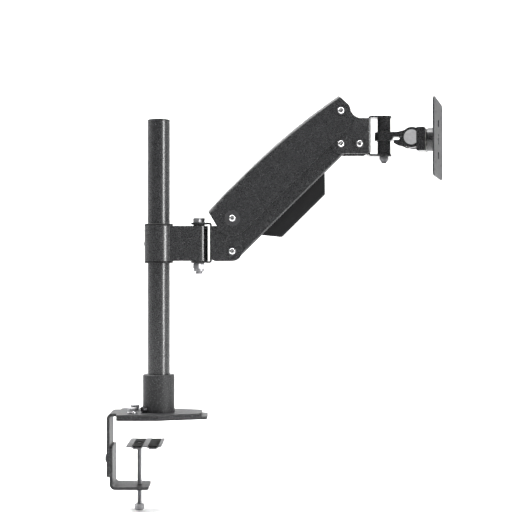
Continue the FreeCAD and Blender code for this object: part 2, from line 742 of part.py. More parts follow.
# ---------------------------------------------------------------- parallel arm
def in_arm_frame(body, x="lower_pivot_x", z=UPPER_PIVOT_Z):
    """Turn a body drawn along +X, in the XZ plane, up to the arm's angle about its lower pivot."""
    return place(body, x, z=z, rotation=LIFT)


def arched(body, outline, half, radius, bend):
    """Pad a side outline across the arm, trim it to the long arc of the arm's top and round the arc's edges."""
    x = "top_centre_along"
    z = "top_centre_height"
    add(body, [outline], "-1 * (%s)" % half, half, "XZ_Plane")
    square = [(x + " - 1300", z + " - 1300"), (x + " + 1300", z + " - 1300"),
              (x + " + 1300", z + " + 1300"), (x + " - 1300", z + " + 1300")]
    cut(body, [square, circle(x, z, radius)], "-1 * (%s) - 1" % half, half + " + 1", "XZ_Plane")
    soften(body, lambda edge: isinstance(edge.Curve, Part.Circle) and edge.Curve.Radius > 1000, bend)


def make_shell():
    """A folded channel, open below, whose roof is a long shallow arc."""
    half = "shell_half_width"
    boss = "pivot_boss"
    # the start edge is tangent to the rounding about the lower pivot
    reach = "sqrt(shell_start ^ 2 + shell_top_start ^ 2)"
    bearing = "atan2(shell_top_start; shell_start) + acos(shell_below / (%s))" % reach
    outline = [("shell_start", "shell_top_start"), ("shell_start", "shell_peak"), ("shell_end", "shell_peak"),
               ("shell_end", "shell_top_end"),
               ("arm_length + " + boss, "0"), ("arm_length", "0"),
               ("arm_length + %s * cos(arm_angle)" % boss, "0 - %s * sin(arm_angle)" % boss),
               ("arm_length + {0} * cos(arm_angle) - (shell_below - {0} * sin(arm_angle)) / tan(arm_angle)".format(boss),
                "-shell_below"),
               ("0", "-shell_below"), ("0", "0"),
               ("shell_below * cos(%s)" % bearing, "shell_below * sin(%s)" % bearing)]
    blank = new_body("upper_arm_blank", False)
    arched(blank, outline, half, "top_radius", "shell_bend")
    add(blank, [circle("0", "0", "shell_below")], "-" + half, half, "XZ_Plane")
    add(blank, [circle("arm_length", "0", boss)], "-" + half, half, "XZ_Plane")
    cut(blank, [circle("0", "0", "pin_radius + bush_wall"), circle("arm_length", "0", "pin_radius + bush_wall")],
        "-1 * shell_half_width - 1", "shell_half_width + 1", "XZ_Plane")

    cavity = new_body("upper_arm_cavity", False)
    arched(cavity, [("shell_start - 40", "shell_peak"), ("shell_end + 30", "shell_peak"),
                    ("shell_end + 30", "-2 * shell_below"), ("shell_start - 40", "-2 * shell_below")],
           "(shell_half_width - shell_sheet)", "top_radius - shell_sheet", "shell_bend - shell_sheet")

    shell = doc.addObject("Part::Cut", "upper_arm_shell")
    shell.Base = blank
    shell.Tool = cavity
    nodes.append(shell)
    in_arm_frame(shell)

    flange_face = "plate_half_width + 0.05"
    bush_pairs("upper_arm_bushes", [("lower_pivot_x", UPPER_PIVOT_Z), (HEAD_PIVOT_X, HEAD_UPPER_Z)],
               "shell_half_width - shell_sheet", "shell_half_width", flange_face, "8")


def make_lower_link():
    link = new_body("lower_link")
    half = "link_half_width"
    boss = "link_boss"
    outline = [("0", "-" + boss), ("arm_length", "-" + boss), ("arm_length", "link_low_rise"),
               ("arm_length - 40", "link_low_rise"), ("arm_length - 56", "link_rise"), ("60", "link_rise"),
               ("44", "link_low_rise"), ("0", "link_low_rise")]
    add(link, [outline], "-" + half, half, "XZ_Plane")
    for x in ("0", "arm_length"):
        add(link, [circle(x, "0", boss)], "-" + half, half, "XZ_Plane")
    bottoms = [Vector(0, side * SIZES["link_half_width"], -SIZES["link_boss"]) for side in (-1, 1)]
    soften(link, straight_edges(Vector(1, 0, 0), bottoms), "3")
    inner = "link_half_width - link_sheet"
    cut(link, [[("-25", "40"), ("-25", "-25"), ("10", "-25"), ("10", "link_sheet - link_boss"),
                ("arm_length - 10", "link_sheet - link_boss"), ("arm_length - 10", "-25"),
                ("arm_length + 25", "-25"), ("arm_length + 25", "40")]],
        "-1 * (%s)" % inner, inner, "XZ_Plane")
    cut(link, [circle("0", "0", "pin_radius + bush_wall"), circle("arm_length", "0", "pin_radius + bush_wall")],
        "-1 * link_half_width - 1", "link_half_width + 1", "XZ_Plane")
    in_arm_frame(link, z="lower_pivot_z")

    bush_pairs("lower_link_bushes", [("lower_pivot_x", "lower_pivot_z"), (HEAD_PIVOT_X, HEAD_LOWER_Z)],
               "link_half_width", "link_half_width - link_sheet", "plate_half_width - plate_sheet - 0.05", "7")

    cover = new_body("cable_cover")
    top = "-link_boss"
    floor = "-link_boss - cover_depth"
    width = "cover_half_width"
    add(cover, [[("cover_start", top), ("cover_floor_start", floor), ("cover_floor_end", floor),
                 ("cover_end", top)]], "-" + width, width, "XZ_Plane")
    floor_edges = [Vector(0, side * SIZES["cover_half_width"], -SIZES["link_boss"] - SIZES["cover_depth"])
                   for side in (-1, 1)]
    soften(cover, straight_edges(Vector(1, 0, 0), floor_edges), "3")
    # the channel runs out through both slanted ends
    inner = "cover_half_width - cover_wall"
    cut(cover, [[("cover_start - 30", "1 - link_boss"), ("cover_start - 30", floor + " + cover_wall"),
                 ("cover_end + 30", floor + " + cover_wall"), ("cover_end + 30", "1 - link_boss")]],
        "-1 * (%s)" % inner, inner, "XZ_Plane")
    # two tabs under the link carry the cover's screws
    for x in ("cover_start + 16", "cover_end - 16"):
        add(cover, [[(x + " - 6", "-cover_half_width + 1"), (x + " + 6", "-cover_half_width + 1"),
                     (x + " + 6", "cover_half_width - 1"), (x + " - 6", "cover_half_width - 1")]],
            top + " - 2.5", top)
    in_arm_frame(cover, z="lower_pivot_z")

    screws = []
    for x in ("cover_start + 16", "cover_end - 16"):
        screw = new_body("cover_screw", False)
        turn(screw, [("0", top + " - 4.3"), ("2.6", top + " - 4.3"), ("3.2", top + " - 3.4"),
                     ("3.2", top + " - 2.55"), ("1.5", top + " - 2.55"), ("1.5", top + " + 3.5"),
                     ("0", top + " + 3.5")])
        place(screw, "lower_pivot_x + (%s) * cos(arm_angle)" % x, z="lower_pivot_z + (%s) * sin(arm_angle)" % x,
              rotation=LIFT)
        screws.append(screw)
    group("cable_cover_screws", screws)
    cut(link, [circle(x, "0", "1.5") for x in ("cover_start + 16", "cover_end - 16")],
        "-link_boss - 1", "link_sheet - link_boss + 1")
    cut(cover, [circle(x, "0", "1.6") for x in ("cover_start + 16", "cover_end - 16")], top + " - 3", top + " + 0.5")


# ---------------------------------------------------------------- gas spring
def make_gas_spring():
    """Rod pinned to the yoke, cylinder bearing on the pin inside the shell's upper end."""
    anchor = new_body("spring_anchor")
    x = "anchor_along"
    roof = "top_centre_height + sqrt((top_radius - shell_sheet - 0.02) ^ 2 - (anchor_along + (%d) - top_centre_along) ^ 2)"
    lug = "8"
    add(anchor, [[(x + " - 9", roof % -9), (x + " - 7", "-4"), (x + " + 7", "-4"), (x + " + 9", roof % 9)]],
        "-14", "14", "XZ_Plane")
    add(anchor, [circle(x, "0", lug)], "-14", "14", "XZ_Plane")
    cut(anchor, [[(x + " - 12", "16"), (x + " - 12", "-12"), (x + " + 12", "-12"), (x + " + 12", "16")]],
        "-6.2", "6.2", "XZ_Plane")
    cut(anchor, [circle(x, "0", "spring_pin + running_gap")], "-15", "15", "XZ_Plane")
    in_arm_frame(anchor)

    pin_x = "lower_pivot_x + anchor_along * cos(arm_angle)"
    pin_z = UPPER_PIVOT_Z + " + anchor_along * sin(arm_angle)"
    pin = new_body("spring_anchor_pin")
    turn(pin, [("0", "-14"), ("spring_pin", "-14"), ("spring_pin", "14"), ("0", "14")])
    place(pin, pin_x, z=pin_z, rotation=SIDE)

    # the spring's own axis runs from the anchor pin down to the yoke pin
    angle = math.radians(SIZES["arm_angle"])
    drop = Vector(SIZES["anchor_along"] * math.cos(angle), 0,
                  SIZES["anchor_along"] * math.sin(angle) + SIZES["spring_offset"])
    down_spring = Rotation(Vector(0, 0, 1), drop * -1)
    length = drop.Length
    print("gas spring between pins: %.2f mm" % length)

    cylinder = new_body("gas_cylinder")
    nose = "anchor_along - cylinder_front"
    back = "anchor_along - cylinder_back"
    bore = "cylinder_radius - 1.5"
    turn(cylinder, [("0", nose), ("cylinder_radius - 2", nose), ("cylinder_radius", nose + " + 2"),
                    ("cylinder_radius", back + " - 1"), ("cylinder_radius - 1", back),
                    ("rod_radius + running_gap", back), ("rod_radius + running_gap", back + " - 8"),
                    (bore, back + " - 8"), (bore, nose + " + 6"), ("0", nose + " + 6")])
    # the slotted eye leaves room for the small arc that a constant ratio leaves out
    half = "(spring_pin + slot_gap)"
    wall = "(spring_pin + slot_gap + 3)"
    play = "slot_play"
    add(cylinder, [[("-1 * " + play, "-1 * " + wall), (play, "-1 * " + wall), (play, wall), ("-1 * " + play, wall)]],
        "-6", "6", "XZ_Plane")
    for side in ("-1 * " + play, play):
        add(cylinder, [circle(side, "0", wall)], "-6", "6", "XZ_Plane")
    add(cylinder, [[("-5", "0"), ("5", "0"), ("5", nose + " + 1"), ("-5", nose + " + 1")]], "-6", "6", "XZ_Plane")
    cut(cylinder, [[("-1 * " + play, "-1 * " + half), (play, "-1 * " + half), (play, half), ("-1 * " + play, half)]],
        "-7", "7", "XZ_Plane")
    for side in ("-1 * " + play, play):
        cut(cylinder, [circle(side, "0", half)], "-7", "7", "XZ_Plane")
    place(cylinder, pin_x, z=pin_z, rotation=down_spring)

    rod = new_body("gas_piston_rod")
    end = "%.3f" % length
    turn(rod, [("0", nose + " + 50"), ("cylinder_radius - 1.6", nose + " + 50"),
               ("cylinder_radius - 1.6", nose + " + 56"), ("rod_radius", nose + " + 56"),
               ("rod_radius", end + " - 9"), ("0", end + " - 9")])
    place(rod, pin_x, z=pin_z, rotation=down_spring)

    eye = new_body("gas_rod_eye")
    add(eye, [circle("0", end, "8")], "-6", "6", "XZ_Plane")
    add(eye, [[("-5.5", end + " - 14"), ("5.5", end + " - 14"), ("5.5", end), ("-5.5", end)]],
        "-5.5", "5.5", "XZ_Plane")
    cut(eye, [circle("0", end, "spring_pin + running_gap")], "-7", "7", "XZ_Plane")
    cut(eye, [circle("0", "0", "rod_radius + 0.02")], end + " - 15", end + " - 9")
    place(eye, pin_x, z=pin_z, rotation=down_spring)


# ---------------------------------------------------------------- head bracket and swivel
def make_head():
    """One folded sheet: a web, two side plates for the arm and two flanges for the swivel bolt."""
    head = new_body("head_bracket")
    x = HEAD_PIVOT_X
    boss = "pivot_boss"
    bottom = HEAD_LOWER_Z + " - " + boss
    web = "head_right - plate_sheet"
    # the neck's hollow is a round corner against the upper boss
    drop = "head_top + head_fillet - (%s)" % HEAD_UPPER_Z
    hollow_x = "%s + sqrt((pivot_boss + head_fillet) ^ 2 - (%s) ^ 2)" % (x, drop)
    hollow_z = "head_top + head_fillet - 0.1"
    outline = [(x + " - " + boss, HEAD_UPPER_Z), (x + " - " + boss, HEAD_LOWER_Z), (x, HEAD_LOWER_Z),
               (x, bottom), (web + " - 4", bottom), (web + " - 1", bottom + " + 2"), ("head_right", bottom + " + 2"),
               ("head_right", "head_top"), (hollow_x, "head_top"), (hollow_x, "head_top + 6"),
               (x + " + pivot_boss + 4", HEAD_UPPER_Z + " + 3"), (x, HEAD_UPPER_Z)]
    half = "plate_half_width"
    add(head, [outline], "-" + half, half, "XZ_Plane")
    add(head, [circle(x, HEAD_UPPER_Z, "head_boss"), circle(x, HEAD_LOWER_Z, boss)], "-" + half, half, "XZ_Plane")
    cut(head, [circle(hollow_x, hollow_z, "head_fillet")], "-%s - 1" % half, half + " + 1", "XZ_Plane")
    bends = [Vector(SIZES["head_right"], side * SIZES["plate_half_width"], 0) for side in (-1, 1)]
    soften(head, straight_edges(Vector(0, 0, 1), bends), "plate_sheet + 1")
    inside = "plate_half_width - plate_sheet"
    cut(head, [[(x + " - 30", "flange_low - 5"), (web, "flange_low - 5"), (web, HEAD_UPPER_Z + " + 30"),
                (x + " - 30", HEAD_UPPER_Z + " + 30")]], "-1 * (%s)" % inside, inside, "XZ_Plane")
    bolt_bore = "screw_radius + running_gap"
    fold_flanges(head, "swivel_x", "swivel_flange_radius", "flange_low", "flange_high", "head_right", web,
                 SIZES["head_right"] - SIZES["plate_sheet"], bolt_bore)
    bore = "pin_radius + running_gap"
    cut(head, [circle(x, HEAD_UPPER_Z, bore), circle(x, HEAD_LOWER_Z, bore),
               circle("brace_bolt_x", HEAD_LOWER_Z, bore)], "-1 * plate_half_width - 1", "plate_half_width + 1",
        "XZ_Plane")

    gap = "1.2"
    tube("swivel_spacer_upper", "spacer_radius", bolt_bore, "knuckle_high + " + gap, "flange_high - bracket_sheet",
         x="swivel_x")
    tube("swivel_spacer_lower", "spacer_radius", bolt_bore, "flange_low + bracket_sheet", "knuckle_low - " + gap,
         x="swivel_x")
    upper = washer("swivel_washer", "spacer_radius", bolt_bore, "knuckle_high + side_gap", "knuckle_high + " + gap)
    lower = washer("swivel_washer", "spacer_radius", bolt_bore, "knuckle_low - " + gap, "knuckle_low - side_gap")
    group("swivel_washers", [place(upper, "swivel_x"), place(lower, "swivel_x")])

    bolt = new_body("swivel_bolt")
    foot = "flange_low - 10.2"
    turn(bolt, [("0", foot), ("screw_radius", foot), ("screw_radius", "flange_high"), ("7", "flange_high"),
                ("6.6", "flange_high + 0.7"), ("2.4", "flange_high + 1.2"), ("0", "flange_high + 1.9")])
    place(bolt, "swivel_x")
    nut = lock_nut("swivel_nut", "13", "8", "screw_radius + 0.02")
    nodes.append(nut)
    place(nut, "swivel_x", z="flange_low")


# ---------------------------------------------------------------- tilting head
def at_swivel(body, extra=None):
    """Place a body, drawn along +X from the swivel axis, at the head's yaw."""
    rotation = YAW if extra is None else YAW * extra
    return place(body, "swivel_x", rotation=rotation)


def make_tilt_arm():
    arm = new_body("tilt_arm")
    reach = "tilt_reach"
    middle = "tilt_height"
    add(arm, [circle("0", "0", "knuckle_radius")], "knuckle_low", "knuckle_high")
    add(arm, [[("0", "-9"), (reach + " - 22", "-9"), (reach + " - 14", "-1 * ear_outer"), (reach, "-1 * ear_outer"),
               (reach, "ear_outer"), (reach + " - 14", "ear_outer"), (reach + " - 22", "9"), ("0", "9")]],
        middle + " + 2.2", "knuckle_high")
    # ears and the brow that runs up to them
    add(arm, [circle(reach, middle, "ear_radius")], "-1 * ear_outer", "ear_outer", "XZ_Plane")
    add(arm, [[(reach + " - 24", "knuckle_high - 1"), (reach + " - 22", "knuckle_high"),
               (reach + " - 9", middle + " + 13"), (reach, middle), (reach + " - 12", middle)]],
        "-9", "9", "XZ_Plane")
    # cable hook: a finger under the arm that points back to the swivel, with a slot above it
    slot_end = reach + " - 22.1"
    add(arm, [[(reach + " - 29.4", middle + " - 2.2"), (reach + " - 29.2", middle + " - 6.9"),
               (reach + " - 22", middle + " - 11"), (reach + " - 15.7", middle + " - 12.4"),
               (reach + " - 9.3", middle + " - 15.8"), (reach, middle + " - 15.4"), (reach, middle + " + 4"),
               (slot_end, middle + " + 4"), (slot_end, middle + " - 2.2")]],
        "-6", "6", "XZ_Plane")
    cut(arm, [circle(slot_end, middle, "2.2")], "-10", "10", "XZ_Plane")
    cut(arm, [[("12.4", middle + " - 4"), ("13.4", middle + " - 0.5"), (reach + " - 29.45", middle + " + 2.15"),
               (reach + " - 29.45", middle + " - 4")]], "-10", "10", "XZ_Plane")
    fork = "ear_inner"
    cut(arm, [[(reach, middle + " - 40"), (reach + " + 30", middle + " - 40"), (reach + " + 30", middle + " + 40"),
               (reach, middle + " + 40")]], "-1 * " + fork, fork, "XZ_Plane")
    cut(arm, [circle(reach, middle, "ear_radius + 0.3")], "-1 * " + fork, fork, "XZ_Plane")
    cut(arm, [circle(reach, middle, "screw_radius + running_gap")], "-1 * ear_outer - 1", "ear_outer + 1", "XZ_Plane")
    cut(arm, [circle("0", "0", "screw_radius + running_gap")], "knuckle_low - 1", "knuckle_high + 1")
    at_swivel(arm)


def make_tilt_bracket():
    bracket = new_body("tilt_bracket")
    reach = "tilt_reach"
    middle = "tilt_height"
    centre = "block_height"
    tall = "block_half_height"
    step = reach + " + flat_offset"
    front = reach + " + block_front"
    tongue = "ear_inner - 0.3"
    add(bracket, [[(step, centre + " - " + tall), (front, centre + " - " + tall), (front, centre + " + " + tall),
                   (step, centre + " + " + tall)]], "-1 * cheek_outer", "cheek_outer", "XZ_Plane")
    rims = [Vector(SIZES["tilt_reach"] + offset, 0, SIZES["block_height"] + side * SIZES["block_half_height"])
            for offset in (SIZES["flat_offset"], SIZES["block_front"]) for side in (-1, 1)]
    soften(bracket, straight_edges(Vector(0, 1, 0), rims), "1.5")
    for low, high in (("-1 * ear_outer - 0.3", "-1 * (%s)" % tongue), (tongue, "ear_outer + 0.3")):
        cut(bracket, [circle(reach, middle, "ear_radius + 0.6")], low, high, "XZ_Plane")
        cut(bracket, [[(step + " - 1", centre + " - " + tall + " - 1"), (step + " + 2", centre + " - " + tall + " - 1"),
                       (step + " + 2", centre + " + " + tall + " + 1"),
                       (step + " - 1", centre + " + " + tall + " + 1")]], low, high, "XZ_Plane")
    add(bracket, [circle(reach, middle, "ear_radius - 1.4")], "-1 * (%s)" % tongue, tongue, "XZ_Plane")
    cut(bracket, [circle(reach, middle, "screw_radius + running_gap")], "-1 * ear_outer", "ear_outer", "XZ_Plane")
    cut(bracket, [circle("0", centre, "screw_radius")], reach + " + flat_offset + 0.5", front + " + 1", "YZ_Plane")
    hole_x = reach + " + 14"
    cut(bracket, [circle(hole_x, middle, "1.6")], "cheek_outer - 6", "cheek_outer + 1", "XZ_Plane")
    at_swivel(bracket)

    bolt = new_body("tilt_disc_bolt")
    face = "ear_outer + 0.3"
    add(bolt, [circle("0", "0", "disc_radius")], face, face + " + disc_depth")
    cut(bolt, [[("flat_offset", "-20"), ("30", "-20"), ("30", "20"), ("flat_offset", "20")]],
        face + " - 1", face + " + disc_depth + 1")
    add(bolt, [circle("0", "0", "screw_radius")], "-1 * cheek_outer - 12", face)
    place(bolt, "swivel_x + tilt_reach * cos(head_yaw)", "tilt_reach * sin(head_yaw)", "tilt_height", YAW * SIDE)

    rings = []
    for low, high, outer in (("-1 * ear_outer - 2.2", "-1 * ear_outer - side_gap", "7.4"),
                             ("-1 * ear_outer - 3.8", "-1 * ear_outer - 2.2", "7.4")):
        ring = washer("tilt_washer", outer, "screw_radius + 0.02", low, high)
        place(ring, "swivel_x + tilt_reach * cos(head_yaw)", "tilt_reach * sin(head_yaw)", "tilt_height", YAW * SIDE)
        rings.append(ring)
    group("tilt_washers", rings)
    nut = lock_nut("tilt_nut", "13", "8", "screw_radius + 0.02")
    nodes.append(nut)
    place(nut, "swivel_x + tilt_reach * cos(head_yaw) + (ear_outer + 3.8) * -1 * sin(head_yaw)",
          "tilt_reach * sin(head_yaw) + (ear_outer + 3.8) * cos(head_yaw)", "tilt_height", YAW * SIDE)


def make_vesa_plate():
    reach = "tilt_reach"
    front = reach + " + hub_front"
    face = front + " + vesa_thickness"
    forward = Rotation(Vector(0, 1, 0), 90)         # local z -> along the head

    plate = new_body("vesa_plate")
    half = "vesa_half"
    add(plate, [[("-1 * " + half, "-1 * " + half), (half, "-1 * " + half), (half, half), ("-1 * " + half, half)]],
        front, face)
    corners = [Vector(x * SIZES["vesa_half"], y * SIZES["vesa_half"], 0) for x in (-1, 1) for y in (-1, 1)]
    soften(plate, straight_edges(Vector(0, 0, 1), corners), "9")
    signs = [(x, y) for x in ("", "-") for y in ("", "-")]
    cut(plate, [circle(x + size, y + size, "vesa_hole") for size in ("vesa_wide", "vesa_narrow") for x, y in signs],
        front + " - 1", face + " + 1")
    cut(plate, [circle("0", "0", "8.2")], front + " - 1", face + " + 1")
    slot = [("19", "-8"), ("30", "-8"), ("30", "8"), ("19", "8")]
    for turn_sign in (1, -1):
        window = [("%d * %s" % (turn_sign, x), "%d * %s" % (turn_sign, y)) for x, y in slot]
        cut(plate, [window], front + " - 1", face + " + 1")
    place(plate, "swivel_x", z="block_height", rotation=YAW * forward)

    hub = new_body("roll_hub")
    back = reach + " + block_front + 1.2"
    turn(hub, [("screw_radius + running_gap", back), ("block_half_height - 1", back),
               ("block_half_height", back + " + 1"), ("block_half_height", front),
               ("8.2", front), ("8.2", front + " - 3"), ("screw_radius + running_gap", front + " - 3")])
    place(hub, "swivel_x", z="block_height", rotation=YAW * forward)

    ring = tube("roll_washer", "14", "screw_radius + running_gap", reach + " + block_front", back + " - side_gap")
    place(ring, "swivel_x", z="block_height", rotation=YAW * forward)

    bolt = new_body("roll_bolt")
    neck = front + " - 3 + side_gap"
    tip = reach + " + flat_offset + 0.7"
    turn(bolt, [("0", tip), ("screw_radius - 0.02", tip), ("screw_radius - 0.02", neck), ("7.6", neck),
                ("7.6", face + " - 1.2"), ("7", face + " - 0.6"), ("0", face + " - 0.6")])
    cut(bolt, [hexagon("5")], front, face)
    place(bolt, "swivel_x", z="block_height", rotation=YAW * forward)


make_base()
make_pole()
make_jaw()
make_clamp_foot()
make_collar()
make_elbow()
make_yoke()
make_pivots()
make_shell()
make_lower_link()
make_gas_spring()
make_head()
make_tilt_arm()
make_tilt_bracket()
make_vesa_plate()
doc.recompute()

# ---------------------------------------------------------------- checks and files
for item in doc.Objects:
    if "Invalid" in item.State or "Error" in item.State:
        raise RuntimeError("%s failed: %s" % (item.Label, item.State))
os.makedirs("parts", exist_ok=True)
for node in nodes:
    shape = node.Shape
    if shape.isNull() or not shape.isValid() or not shape.Solids:
        raise RuntimeError(node.Label + " has no valid solid")
    shape.exportStep("parts/%s.step" % node.Label)
    print("%-24s %2d solids %9.0f mm3" % (node.Label, len(shape.Solids), shape.Volume))
print(len(nodes), "nodes")
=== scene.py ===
"""Studio scene of a desk-clamp monitor arm: finishes, fine detail, lights, floor and camera."""
import json
import math

import bmesh
import bpy
from mathutils import Matrix, Vector


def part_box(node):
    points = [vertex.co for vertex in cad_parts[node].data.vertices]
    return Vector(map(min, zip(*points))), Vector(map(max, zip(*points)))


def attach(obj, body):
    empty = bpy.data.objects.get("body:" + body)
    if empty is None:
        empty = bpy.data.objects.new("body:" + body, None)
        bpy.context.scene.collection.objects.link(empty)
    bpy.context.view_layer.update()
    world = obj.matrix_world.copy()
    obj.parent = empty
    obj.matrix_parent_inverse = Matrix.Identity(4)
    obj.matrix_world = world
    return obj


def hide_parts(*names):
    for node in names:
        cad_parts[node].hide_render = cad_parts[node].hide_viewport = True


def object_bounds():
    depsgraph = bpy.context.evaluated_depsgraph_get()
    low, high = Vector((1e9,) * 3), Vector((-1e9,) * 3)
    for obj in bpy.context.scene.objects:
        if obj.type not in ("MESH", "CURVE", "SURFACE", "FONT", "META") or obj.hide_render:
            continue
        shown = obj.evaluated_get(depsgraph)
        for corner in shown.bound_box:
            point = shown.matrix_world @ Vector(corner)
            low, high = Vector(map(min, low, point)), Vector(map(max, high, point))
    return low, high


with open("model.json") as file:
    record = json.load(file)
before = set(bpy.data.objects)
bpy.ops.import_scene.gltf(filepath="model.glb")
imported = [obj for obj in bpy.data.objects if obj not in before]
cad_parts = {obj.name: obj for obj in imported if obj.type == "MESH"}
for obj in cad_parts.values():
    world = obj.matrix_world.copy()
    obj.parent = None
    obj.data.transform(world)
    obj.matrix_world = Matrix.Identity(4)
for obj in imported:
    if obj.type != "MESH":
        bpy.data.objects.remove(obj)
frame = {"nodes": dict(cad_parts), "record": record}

CAD_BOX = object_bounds()
NODES = frame["nodes"]


# ---------------------------------------------------------------- procedural finishes
class Finish:
    """A Principled material whose detail is built from noise in the object's own coordinates."""

    def __init__(self, name, **sockets):
        self.material = bpy.data.materials.new(name)
        self.material.use_nodes = True
        self.tree = self.material.node_tree
        self.shader = self.tree.nodes["Principled BSDF"]
        self.place = self.node("ShaderNodeTexCoord").outputs["Object"]
        for socket, value in sockets.items():
            self.shader.inputs[socket.replace("_", " ")].default_value = value

    def node(self, kind, **settings):
        """Add a node to the material."""
        made = self.tree.nodes.new(kind)
        for key, value in settings.items():
            setattr(made, key, value)
        return made

    def join(self, source, target):
        self.tree.links.new(source, target)

    def noise(self, size, detail=2.0, roughness=0.5, stretch=(1, 1, 1)):
        """Noise whose features are about `size` metres across."""
        mapping = self.node("ShaderNodeMapping")
        mapping.inputs["Scale"].default_value = stretch
        self.join(self.place, mapping.inputs["Vector"])
        noise = self.node("ShaderNodeTexNoise")
        noise.inputs["Scale"].default_value = 1 / size
        noise.inputs["Detail"].default_value = detail
        noise.inputs["Roughness"].default_value = roughness
        self.join(mapping.outputs["Vector"], noise.inputs["Vector"])
        return noise.outputs["Fac"]

    def ramp(self, factor, *stops):
        """A colour ramp of (position, value or colour) stops."""
        ramp = self.node("ShaderNodeValToRGB")
        elements = ramp.color_ramp.elements
        while len(elements) < len(stops):
            elements.new(0.5)
        for element, (position, value) in zip(elements, stops):
            element.position = position
            element.color = (*value, 1) if isinstance(value, tuple) else (value, value, value, 1)
        self.join(factor, ramp.inputs["Fac"])
        return ramp.outputs["Color"]

    def mixed(self, first, second, how):
        """Blend two colours in full over the whole surface."""
        mix = self.node("ShaderNodeMix", data_type="RGBA", blend_type=how)
        mix.inputs["Factor"].default_value = 1
        self.join(first, mix.inputs["A"])
        self.join(second, mix.inputs["B"])
        return mix.outputs["Result"]

    def colour(self, source):
        self.join(source, self.shader.inputs["Base Color"])

    def roughness(self, source):
        self.join(source, self.shader.inputs["Roughness"])

    def relief(self, *layers, edge=0.0004):
        """Stack bumps of (height source, depth in metres) on softly rounded edges."""
        bevel = self.node("ShaderNodeBevel", samples=4)
        bevel.inputs["Radius"].default_value = edge
        normal = bevel.outputs["Normal"]
        for height, depth in layers:
            bump = self.node("ShaderNodeBump")
            bump.inputs["Strength"].default_value = 1
            bump.inputs["Distance"].default_value = depth
            self.join(height, bump.inputs["Height"])
            self.join(normal, bump.inputs["Normal"])
            normal = bump.outputs["Normal"]
        self.join(normal, self.shader.inputs["Normal"])


def powder_coat(name, gloss, low, high):
    """Charcoal paint with a fine orange-peel grain and pale flecks, partly real flecks and partly painted
    glints of sparkle.
    """
    coat = Finish(name, Metallic=0.0)
    coat.shader.inputs["Specular IOR Level"].default_value = gloss
    grain = coat.noise(0.0016, 3, 0.65)
    fleck_and_glint_noise = coat.noise(0.0012, 2, 0.6)
    cloud = coat.noise(0.06, 3, 0.6)
    base = coat.ramp(grain, (0.3, (0.007, 0.0072, 0.0078)), (0.7, (0.026, 0.0265, 0.028)))
    # Pale flecks added to the colour: partly real flecks in the paint, partly painted glints.
    light = coat.ramp(fleck_and_glint_noise, (0.58, 0.0), (0.72, 0.09))
    speckled = coat.mixed(base, light, "ADD")
    coat.colour(coat.mixed(speckled, coat.ramp(cloud, (0.3, 0.86), (0.7, 1.0)), "MULTIPLY"))
    coat.roughness(coat.ramp(grain, (0.3, low), (0.7, high)))
    coat.relief((grain, 0.000012), (fleck_and_glint_noise, 0.000006), edge=0.0006)
    return coat.material


def plated(name, colour, rough, metallic=1.0):
    """Plated or bare metal with a faint cloud and fine scratches."""
    zinc = Finish(name, Metallic=metallic)
    cloud = zinc.noise(0.004, 4, 0.65)
    scratch = zinc.noise(0.0006, 2, 0.5, (1, 1, 9))
    dull = tuple(channel * 0.78 for channel in colour)
    zinc.colour(zinc.ramp(cloud, (0.3, dull), (0.7, colour)))
    zinc.roughness(zinc.ramp(scratch, (0.3, rough * 0.75), (0.7, rough * 1.35)))
    zinc.relief((scratch, 0.000012), (cloud, 0.00004), edge=0.0003)
    return zinc.material


def moulded(name, colour, rough, grain_depth, gloss=0.5):
    """Moulded plastic or foam with a fine grain."""
    plastic = Finish(name)
    plastic.shader.inputs["Specular IOR Level"].default_value = gloss
    grain = plastic.noise(0.0006, 2, 0.6)
    cloud = plastic.noise(0.03, 3, 0.6)
    dull = tuple(channel * 0.7 for channel in colour)
    plastic.colour(plastic.ramp(cloud, (0.3, dull), (0.7, colour)))
    plastic.roughness(plastic.ramp(grain, (0.3, rough - 0.08), (0.7, rough + 0.08)))
    plastic.relief((grain, grain_depth), edge=0.0004)
    return plastic.material


def lacquer():
    """Black gloss paint under a clear coat."""
    gloss = Finish("gloss_black", Coat_Weight=1.0, Coat_Roughness=0.05)
    ripple = gloss.noise(0.006, 2, 0.5)
    gloss.colour(gloss.ramp(ripple, (0.3, (0.006, 0.006, 0.006)), (0.7, (0.012, 0.012, 0.012))))
    gloss.roughness(gloss.ramp(ripple, (0.3, 0.18), (0.7, 0.26)))
    gloss.relief((ripple, 0.00004))
    return gloss.material


FINISHES = {
    "powder_coat": powder_coat("powder_coat", 0.55, 0.25, 0.3),
    "flat_coat": powder_coat("flat_coat", 0.25, 0.45, 0.6),
    "pad_foam": moulded("pad_foam", (0.02, 0.02, 0.02), 0.85, 0.0002, 0.2),
    "bright_zinc": plated("bright_zinc", (0.66, 0.66, 0.67), 0.22),
    # A darker, rougher zinc than bright_zinc, for the bolts, nuts and clamp screw.
    "grey_zinc": plated("grey_zinc", (0.3, 0.3, 0.31), 0.42),
    "dull_steel": plated("dull_steel", (0.16, 0.16, 0.165), 0.5),
    "dark_zinc": plated("dark_zinc", (0.13, 0.13, 0.135), 0.36),
    "black_oxide": plated("black_oxide", (0.045, 0.045, 0.048), 0.4, 0.8),
    "black_plastic": moulded("black_plastic", (0.005, 0.005, 0.0055), 0.5, 0.00006, 0.2),
    "white_nylon": moulded("white_nylon", (0.72, 0.71, 0.68), 0.42, 0.00003),
    "gloss_black": lacquer(),
    "polished_rod": plated("polished_rod", (0.8, 0.8, 0.82), 0.1),
    "grey_disc": plated("grey_disc", (0.5, 0.5, 0.51), 0.5, 0.6),
}
SLOT_OF = {part["node"]: part["material_slot"] for part in frame["record"]["subparts"]}
